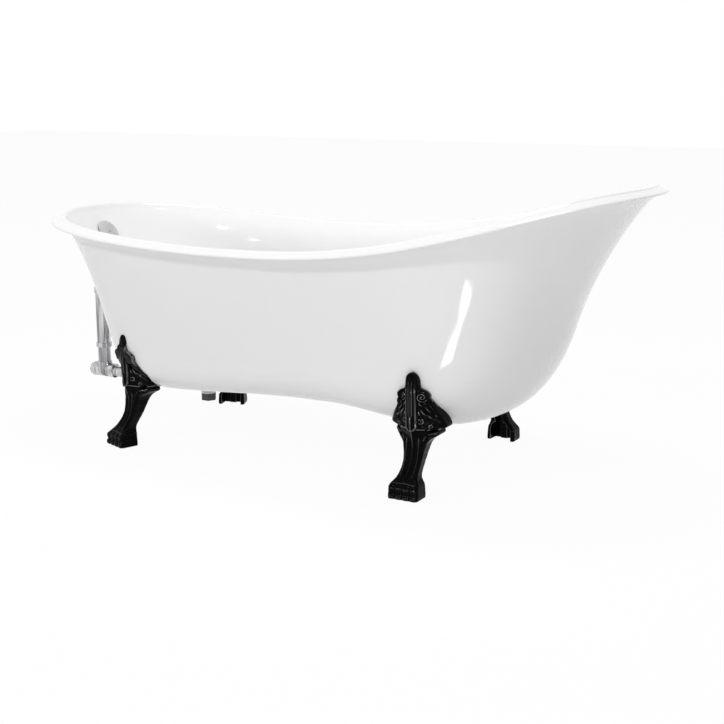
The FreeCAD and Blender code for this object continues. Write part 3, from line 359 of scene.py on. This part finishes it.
# rows that run from a circle round the drain to a ring: (1 - k) circle + k ring
def floorRows(angle, ringRow, radius, shares, heightOf):
    circle = np.stack([bathFloor["drainX"] + radius * np.cos(angle), radius * np.sin(angle), 0 * angle], -1)
    rows = (1 - shares)[:, None, None] * circle + shares[:, None, None] * ringRow
    rows[..., 2] = heightOf(rows[..., 0])
    return rows


def circleRow(angle, radius, height):
    return np.stack([bathFloor["drainX"] + radius * np.cos(angle), radius * np.sin(angle), height + 0 * angle], -1)


# ---------- inner shell with its rolled and flared lip

basinMesh = {"columns": 320, "wallRows": 90, "floorRows": 14, "rollStart": 0.972, "rollOut": 9.0}


def makeBasin(look):
    angle = np.linspace(0, 2 * math.pi, look["columns"], endpoint=False) + 1e-4
    zero = angle * 0
    lip = rim["lipWidth"]
    levels = np.concatenate([np.linspace(0, 0.3, look["wallRows"] // 2) ** 1.5 * 0.3 ** -0.5,
                             np.linspace(0.3, look["rollStart"], look["wallRows"] // 2)[1:]])
    inner = [basinPoint(angle, level + zero) for level in levels]
    crest = lipPoint(angle, 0.0, 0.0)
    rollEnd = lipPoint(angle, look["rollOut"], lipSlope(look["rollOut"]))
    pull = 2 * crest - (inner[-1] + rollEnd) / 2
    roll = [(1 - t) ** 2 * inner[-1] + 2 * t * (1 - t) * pull + t * t * rollEnd
            for t in np.linspace(0, 1, 10)[1:-1]]
    slope = [lipPoint(angle, out, lipSlope(out)) for out in np.linspace(look["rollOut"], lip - 1.2, 7)]
    edge = [lipPoint(angle, lip - 1.2 + 1.2 * math.sin(a),
                     rim["lipDrop"] + rim["edge"] / 2 - rim["edge"] / 2 * math.cos(a))
            for a in np.linspace(0.5, math.pi - 0.5, 5)]
    under = [lipPoint(angle, out, lipSlope(out) + rim["edge"] + 1.0 * (1 - out / lip))
             for out in (30.0, 26.0, 20.0, 14.0)]
    outerLevels = np.concatenate([np.linspace(0.945, 0.05, 30), [0.03, 0.015, 0.006, 0.0025]])
    outer = [movedOut(basinPoint, angle, level + zero, basinWalls["thickness"]) for level in outerLevels]
    shares = np.linspace(1, 0, look["floorRows"])
    below = floorRows(angle, outer[-1], 46.0, shares, lambda x: floorHeight(x) - basinWalls["thickness"])
    hole = [circleRow(angle, r, z) for r, z in ((46.0, bathFloor["boss"]), (23.2, bathFloor["boss"]),
                                               (23.2, bathFloor["seat"]), (37.0, bathFloor["seat"]))]
    above = floorRows(angle, inner[0], 42.0, np.linspace(0, 1, look["floorRows"])[:-1], floorHeight)
    rows = np.concatenate([np.stack(inner + roll + slope + edge + under + outer), below[1:], np.stack(hole), above])
    rows[..., 2] = np.minimum(rows[..., 2], crestHeight(np.float64(1.0)))
    return ringShell("tubInnerShell", rows, finishes["gel_white_inner"], "tub", 50.0)


innerShell = makeBasin(basinMesh)
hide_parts("inner_basin")
print("inner shell made")


# ---------- outer skirt, from its flat floor up to the flare under the lip

skirtMesh = {"columns": 320, "wallRows": 80, "floorRows": 14, "holeRadius": 37.0, "flareStart": 0.9,
             "flareOut": 21.0, "flareGap": 0.8}


def makeSkirt(look):
    angle = np.linspace(0, 2 * math.pi, look["columns"], endpoint=False) + 1e-4
    zero = angle * 0
    wall = skirtWalls["thickness"]
    start = look["flareStart"]
    levels = np.concatenate([np.linspace(0, 1, 45) ** 2 * 0.3, np.linspace(0.3, start, look["wallRows"] - 45)[1:]])
    outer = [skirtPoint(angle, level + zero) for level in levels]
    # the flare: a curve from the wall to the underside of the lip, (1-t)^2 a + 2t(1-t) b + t^2 c
    low = outer[-1]
    corner = skirtPoint(angle, 0.975 + zero)
    tip = lipPoint(angle, look["flareOut"], lipSlope(look["flareOut"]) + rim["edge"] + 1.0 + look["flareGap"])
    flare = [(1 - t) ** 2 * low + 2 * t * (1 - t) * corner + t * t * tip for t in np.linspace(0, 1, 12)[1:]]
    tipInner = lipPoint(angle, look["flareOut"] - 1.5,
                        lipSlope(look["flareOut"]) + rim["edge"] + look["flareGap"] - 0.2)
    innerLevels = np.concatenate([[0.93], np.linspace(start, 0.3, 24),
                                  np.linspace(1, 0, 24)[1:-1] ** 2 * 0.3 + 0.0008])
    inner = [movedOut(skirtPoint, angle, level + zero, -wall) for level in innerLevels]
    inside = floorRows(angle, inner[-1], look["holeRadius"], np.linspace(1, 0, look["floorRows"])[1:],
                       lambda x: undersideHeight(x) + wall)
    outside = floorRows(angle, outer[0], look["holeRadius"], np.linspace(0, 1, look["floorRows"])[:-1],
                        undersideHeight)
    rows = np.concatenate([np.stack(outer + flare + [tipInner] + inner), inside, outside])
    return ringShell("tubOuterSkirt", rows, finishes["gel_white_outer"], "tub", 50.0)


outerSkirt = makeSkirt(skirtMesh)
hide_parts("outer_skirt")
print("outer skirt made")


# ---------- cast feet, each one surface of rows at a height z: a relief in front, a hollow back

footSwing = {"drain": {"at": (-521.0, 262.0), "turn": -20.5, "aside": 64.0, "forward": -18.0, "spread": 0.4},
             "slipperNear": {"at": (359.0, 293.0), "turn": 0.0, "aside": 30.0, "forward": 0.0, "spread": 0.0},
             "slipperFar": {"at": (359.0, 293.0), "turn": 0.0, "aside": -30.0, "forward": 0.0, "spread": 0.0}}
footShape = {
    "rowHeights": (0, 315, 300), "extraRows": (178, 186, 16), "across": 150,
    # clear of the skirt, least thickness and cover over the studs, and the channel's half width
    "clear": 0.4, "least": 6.0, "studCover": 9.6, "channel": 9.0,
    # half width of the outline by height: paw, ankle, leg, jaw, open mouth, beak, brow, scroll, leaf
    "width": ((0, 39), (8, 40), (30, 39), (36, 37), (42, 33), (50, 28), (60, 25.5), (75, 24), (95, 24), (115, 25.5),
              (130, 28), (140, 30), (147, 33), (153, 38), (159, 45), (162.5, 52), (166, 55.5), (169.5, 56), (173, 55),
              (176, 54), (180, 56), (181.6, 61), (183.2, 70), (187, 71.5), (191.5, 70.8), (198, 68.2), (206, 64.2),
              (215, 57.5), (224.5, 50.3), (237.5, 44), (250.5, 37), (253, 35.8), (258, 37), (264, 36.3), (270, 31.5),
              (273, 27), (276, 20), (278, 17), (285, 16.5), (295, 15), (303.5, 13), (309, 10), (312, 7.2),
              (314, 4), (315, 0.4)),
    "front": ((0, 24), (28, 24), (36, 22), (45, 20), (60, 18), (80, 17), (100, 19), (130, 24), (150, 31),
              (163, 37), (172, 41), (185, 43), (230, 45), (270, 46), (300, 46), (315, 43)),
    "back": ((0, -25), (30, -25), (42, -22), (60, -19), (100, -20), (130, -22), (160, -24), (200, -22),
             (250, -5), (315, 30)),
    "slope": ((0, 0), (130, 0), (150, 0.25), (165, 0.60), (240, 0.60), (275, 0.45), (290, 0.25), (315, 0.2)),
    "corner": ((0, 5), (36, 8), (60, 9), (140, 10), (160, 6), (260, 6), (290, 5), (315, 4)),
    "sway": ((0, 0), (30, 0), (50, 0.18), (70, 0.40), (85, 0.56), (100, 0.70), (125, 0.86), (144, 0.95),
             (170, 1), (315, 1)),
    "spread": ((185, 0), (200, 0.3), (217, 1), (268, 1), (280, 0.3), (290, 0)),
    "toes": (-29.0, -9.7, 9.7, 29.0), "eye": (20.5, 199.0), "nostril": (41.0, 187.0), "scroll": (25.0, 258.0),
}


def table(pairs, z):
    z0, values = np.array(pairs, float).T
    return np.interp(z, z0, values)


def bell(distance, width):
    return np.exp(-(distance / width) ** 2)


def ease(value, low, high):
    t = np.clip((value - low) / (high - low), 0, 1)
    return t * t * (3 - 2 * t)


# distance from points (s, z) to the line from a to b
def lineDistance(s, z, a, b):
    ds, dz = b[0] - a[0], b[1] - a[1]
    t = np.clip(((s - a[0]) * ds + (z - a[1]) * dz) / (ds * ds + dz * dz), 0, 1)
    return np.hypot(s - a[0] - t * ds, z - a[1] - t * dz)


# carved height over the front by side s and height z: sums of bells round points and lines, and eased steps
def carving(s, z, look):
    a = np.abs(s)
    height = np.zeros_like(s)
    # leaf: a raised panel with a round foot, a rim and ribs
    halfLeaf = np.where(z < 190, np.sqrt(np.maximum(0, 14.5 ** 2 - np.minimum(z - 190, 0) ** 2)),
                        14.5 - 0.016 * (z - 190))
    inside = halfLeaf - a
    leaf = ease(inside, -1.5, 1.5) * ease(z, 172, 178)
    height += 6.5 * leaf * (1 - 0.5 * ease(z, 270, 300))
    height -= 3.2 * ease(inside, 2.5, 7.0) * leaf * (1 - ease(z, 285, 305))
    height += 2.0 * bell(a - 4.2, 1.6) * ease(inside, 2, 5) * ease(z, 205, 218) * (1 - ease(z, 290, 302))
    height += 1.6 * bell(a, 1.5) * ease(inside, 4, 8) * ease(z, 190, 200) * (1 - ease(z, 205, 215))
    # head: brow, eye, cheek, nostril, open mouth and jaw
    head = ease(z, 160, 168) * (1 - ease(z, 240, 250)) * ease(a, 14.5, 17)
    height += 5.0 * bell(lineDistance(a, z, (20, 222), (60, 200)), 4.5) * head
    height += 3.0 * bell(lineDistance(a, z, (46, 196), (70, 187)), 6.0) * head
    eyeAway = np.hypot(a - look["eye"][0], z - look["eye"][1])
    height += (-3.0 * bell(eyeAway, 8.0) + 4.4 * bell(eyeAway - 5.2, 1.5) + 3.5 * bell(eyeAway, 2.6)) * (z < 240)
    height += 2.2 * bell(np.hypot(a - 33, z - 180), 7.0)
    nose = np.hypot(a - look["nostril"][0], z - look["nostril"][1])
    height += 2.2 * bell(nose - 3.4, 1.5) - 2.5 * bell(nose, 2.0)
    height -= 9.0 * bell(lineDistance(a, z, (40, 174.5), (64, 177.5)), 2.8)
    height += 2.4 * bell(lineDistance(a, z, (36, 166), (58, 168)), 3.0)
    height += 1.8 * bell(lineDistance(a, z, (38, 180), (60, 184)), 1.8)
    # feathers sweeping back from the head, in slanting ridges
    quill = np.sin((0.80 * a + 0.60 * z) * 0.62) * np.sin((0.3 * a - 0.9 * z) * 0.16 + 1.0)
    height += 3.0 * quill * ease(a, 15, 19) * ease(z, 203, 214) * (1 - ease(z, 243, 250))
    ripple = np.sin((0.9 * a - 0.43 * z) * 0.55)
    height += 1.4 * ripple * ease(a, 16, 24) * ease(z, 146, 154) * (1 - ease(z, 160, 168))
    # scroll: spiral ridge r / pitch - angle / 360
    ds, dz = a - look["scroll"][0], z - look["scroll"][1]
    r = np.hypot(ds, dz)
    spiral = np.cos(2 * math.pi * (r / 6.0 - np.arctan2(dz, ds) / (2 * math.pi)))
    height += (2.6 * spiral + 3.0) * (1 - ease(r, 10.5, 13.5)) * ease(a, 14, 16)
    # leg: corner ridges and two flutes
    leg = ease(z, 48, 60) * (1 - ease(z, 150, 166))
    height += (1.6 * bell(a - 15.5, 2.2) - 2.2 * bell(a - 8.0, 3.4) + 0.8 * bell(a, 2.0)) * leg
    # fetlock fold and toes: a knuckle over a claw on each
    height += 2.2 * bell(lineDistance(a, z, (0, 41), (26, 39)), 3.0)
    for toe in look["toes"]:
        side = np.sqrt(np.maximum(0, 1 - ((s - toe) / 9.9) ** 2))
        height += side * (5.5 * bell(z - 25.0, 8.0) + 7.0 * bell(z - 6.0, 8.5)) * (z < 46)
    height -= 1.8 * bell(z - 14.5, 1.6)
    return height


# half width of the skirt at x and z, from the level where its height is z; 0 under the tub
def skirtHalfWidth(x, z):
    level = np.full(np.shape(x), 0.3)
    for _ in range(30):
        drain = wallReach(skirtWalls["drain"], level)
        slipper = wallReach(skirtWalls["slipper"], level)
        u = np.clip((x - (slipper - drain) / 2) / ((slipper + drain) / 2), -1, 1)
        bottom = undersideHeight(x)
        level = np.clip((z - bottom) / (crestHeight(u) - rim["lipDrop"] - bottom), 0, 1)
    taper = rim["taperBase"] + (rim["taper"] - rim["taperBase"]) * level
    plan = np.sqrt(1 - np.abs(u) ** rim["planPower"]) * (1 + taper * u + rim["fullness"] * u * u)
    return np.where(z > bottom, wallReach(skirtWalls["side"], level) * plan, 0.0)


# rows of the casting: front(s) = front - slope |s| - rounding + carving, back(s) the same way with its hollow
def makeFoot(name, look, swing, side):
    z = np.linspace(*look["rowHeights"][:2], look["rowHeights"][2])
    z = np.sort(np.concatenate([z, np.linspace(*look["extraRows"]) + 0.03]))[:, None]
    u = -np.cos(np.linspace(0, math.pi, look["across"]))[None, :]
    width = table(look["width"], z)
    s = width * u
    corner = np.minimum(table(look["corner"], z), width)
    rounding = corner * (1 - np.sqrt(1 - np.clip((np.abs(s) - width + corner) / corner, 0, 1) ** 2))
    slope = table(look["slope"], z) * np.abs(s)
    fade = 1 - 0.75 * ease(np.abs(u), 0.86, 1.0)
    front = table(look["front"], z) - slope - rounding + carving(s, z, look) * fade
    back = table(look["back"], z) - 0.35 * slope + rounding
    arch = np.hypot(s / 28, np.maximum(0, z - 26) / 26)
    back = np.where(z < 56, back + (8 - back) * (1 - ease(arch, 0.92, 1.05)), back)
    back = back + (2 - back) * (1 - ease(np.abs(s), look["channel"], 11.5)) * (1 - ease(z, 136, 144))
    back = np.minimum(back, front - np.minimum(look["least"], width))
    share = np.linspace(0, 1, 6)[1:-1][None, :]
    right = front[:, -1:] * (1 - share) + back[:, -1:] * share
    left = back[:, :1] * (1 - share) + front[:, :1] * share
    ringS = np.concatenate([s, s[:, -1:] + 0 * share, s[:, ::-1], s[:, :1] + 0 * share], 1)
    ringO = np.concatenate([front, right, back[:, ::-1], left], 1)
    ringZ = z + 0 * ringS
    sway = table(look["sway"], ringZ)
    ringS = ringS * (1 + swing["spread"] * table(look["spread"], ringZ) * (ringS > 0)) + swing["aside"] * sway
    ringO = ringO + swing["forward"] * sway
    turn = math.radians(swing["turn"])
    centreX, centreY = swing["at"]
    overStuds = ease(z, 232, 246) * (1 - ease(z, 280, 296)) * (np.arange(ringS.shape[1]) < look["across"])
    for _ in range(12):
        x = centreX + ringS * math.cos(turn) + ringO * math.sin(turn)
        y = centreY - ringS * math.sin(turn) + ringO * math.cos(turn)
        reach = skirtHalfWidth(x, ringZ) + look["clear"] + look["studCover"] * overStuds
        ringO = ringO + np.maximum(0, reach - y) / math.cos(turn)
    x = centreX + ringS * math.cos(turn) + ringO * math.sin(turn)
    y = centreY - ringS * math.sin(turn) + ringO * math.cos(turn)
    points = np.stack([x, side * y, ringZ], -1).reshape(-1, 3) * mm
    rows, columns = ringZ.shape
    grid = gridFaces(rows, columns, closeRows=False)
    faces = facesOutward(points, grid)
    turned = bool((faces[0] != grid[0]).any())
    sole = list(range(columns))
    crown = list(range((rows - 1) * columns, rows * columns))
    caps = [sole, crown[::-1]] if turned else [sole[::-1], crown]
    return meshObject(name, points, faces.tolist() + caps, finishes["black_iron"], "tub", 75.0)


for end, side, nodeName in (("slipperNear", -1, "foot_slipper_near"), ("slipperFar", 1, "foot_slipper_far"),
                            ("drain", -1, "foot_drain_near"), ("drain", 1, "foot_drain_far")):
    casting = makeFoot("casting_" + nodeName, footShape, footSwing[end], side)
    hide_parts(nodeName)
print("feet made")


# ---------- floor, light and camera

stage = {"size": 30.0, "floor": (0.90, 0.90, 0.90), "glow": 0.95, "worldLight": 0.44}
lamps = {
    "keySoft": {"at": (-1.1, -4.7, 3.6), "aim": (0.0, 0.0, 0.3), "size": (0.4, 0.4), "power": 60.0},
    "fillRight": {"at": (4.2, -2.6, 2.0), "aim": (0.2, 0.0, 0.3), "size": (0.12, 0.8), "power": 9.0},
    "overhead": {"at": (0.0, 0.3, 4.6), "aim": (0.0, 0.0, 0.3), "size": (2.0, 1.2), "power": 88.0},
    "sparkLeft": {"at": (-1.9, -3.6, 1.15), "aim": (0.0, 0.0, 0.4), "size": (0.05, 0.4), "power": 8.0},
    "sparkRight": {"at": (2.6, -3.6, 1.3), "aim": (0.4, 0.0, 0.2), "size": (0.05, 0.5), "power": 8.0},
    "stripe": {"at": (0.725, -1.0, 0.055), "aim": (0.481, -0.299, 0.405), "size": (0.15, 0.05), "power": 0.5},
}
cameraSetup = {"at": (1.6903, -2.9091, 0.9786), "look": (-0.4739, 0.8536, -0.2164), "lens": 64.50, "sensor": 36.0}


# shows white to the camera, in chrome and through glass, and keeps part of the shadow
def whiteToTheEye(shade, light, glow):
    path = shade.node("ShaderNodeLightPath", {}, {})
    seen = Value(shade, path.outputs["Is Camera Ray"]).most(Value(shade, path.outputs["Is Glossy Ray"]))
    seen = seen.most(Value(shade, path.outputs["Is Transmission Ray"]))
    shine = shade.node("ShaderNodeEmission", {}, {"Color": (1.0, 1.0, 1.0, 1.0), "Strength": 1.0})
    mixed = shade.node("ShaderNodeMixShader", {}, {0: seen * glow, 1: light, 2: shine.outputs[0]})
    shade.tree.links.new(mixed.outputs[0], shade.output.inputs["Surface"])


def makeFloor(look):
    half = look["size"] / 2
    mesh = bpy.data.meshes.new("studioFloor")
    mesh.from_pydata([(-half, -half, 0), (half, -half, 0), (half, half, 0), (-half, half, 0)], [], [(0, 1, 2, 3)])
    shade = Shade("studioFloorPaper", {"Roughness": 0.9, "Specular IOR Level": 0.0})
    shade.set("Base Color", shade.blend(shade.noise(3.0), look["floor"], look["floor"]))
    whiteToTheEye(shade, shade.surface.outputs[0], look["glow"])
    mesh.materials.append(shade.material)
    floor = bpy.data.objects.new("studioFloor", mesh)
    bpy.context.scene.collection.objects.link(floor)


def makeWorld(look):
    world = bpy.data.worlds.new("softRoom")
    bpy.context.scene.world = world
    world.use_nodes = True
    tree = world.node_tree
    tree.nodes.clear()
    path = tree.nodes.new("ShaderNodeLightPath")
    plain = tree.nodes.new("ShaderNodeBackground")
    plain.inputs["Strength"].default_value = look["worldLight"]
    white = tree.nodes.new("ShaderNodeBackground")
    white.inputs["Color"].default_value = (1, 1, 1, 1)
    plain.inputs["Color"].default_value = (1, 1, 1, 1)
    mixed = tree.nodes.new("ShaderNodeMixShader")
    both = tree.nodes.new("ShaderNodeMath")
    both.operation = "MAXIMUM"
    tree.links.new(path.outputs["Is Camera Ray"], both.inputs[0])
    tree.links.new(path.outputs["Is Glossy Ray"], both.inputs[1])
    seen = tree.nodes.new("ShaderNodeMath")
    seen.operation = "MAXIMUM"
    tree.links.new(both.outputs[0], seen.inputs[0])
    tree.links.new(path.outputs["Is Transmission Ray"], seen.inputs[1])
    tree.links.new(seen.outputs[0], mixed.inputs[0])
    tree.links.new(plain.outputs[0], mixed.inputs[1])
    tree.links.new(white.outputs[0], mixed.inputs[2])
    tree.links.new(mixed.outputs[0], tree.nodes.new("ShaderNodeOutputWorld").inputs["Surface"])


def makeLamp(name, look):
    data = bpy.data.lights.new(name, "AREA")
    data.shape = "RECTANGLE"
    data.size, data.size_y = look["size"]
    data.energy = look["power"]
    lamp = bpy.data.objects.new(name, data)
    lamp.location = look["at"]
    lamp.rotation_euler = (Vector(look["aim"]) - Vector(look["at"])).to_track_quat("-Z", "Y").to_euler()
    bpy.context.scene.collection.objects.link(lamp)


def makeCamera(look):
    data = bpy.data.cameras.new("photoCamera")
    data.lens = look["lens"]
    data.sensor_width = look["sensor"]
    data.clip_end = 60.0
    camera = bpy.data.objects.new("photoCamera", data)
    camera.location = look["at"]
    camera.rotation_euler = Vector(look["look"]).to_track_quat("-Z", "Y").to_euler()
    bpy.context.scene.collection.objects.link(camera)
    bpy.context.scene.camera = camera


makeFloor(stage)
makeWorld(stage)
for lampName, lampLook in lamps.items():
    makeLamp(lampName, lampLook)
makeCamera(cameraSetup)
bpy.context.scene.view_settings.view_transform = "Standard"
print("stage, lamps and camera set")
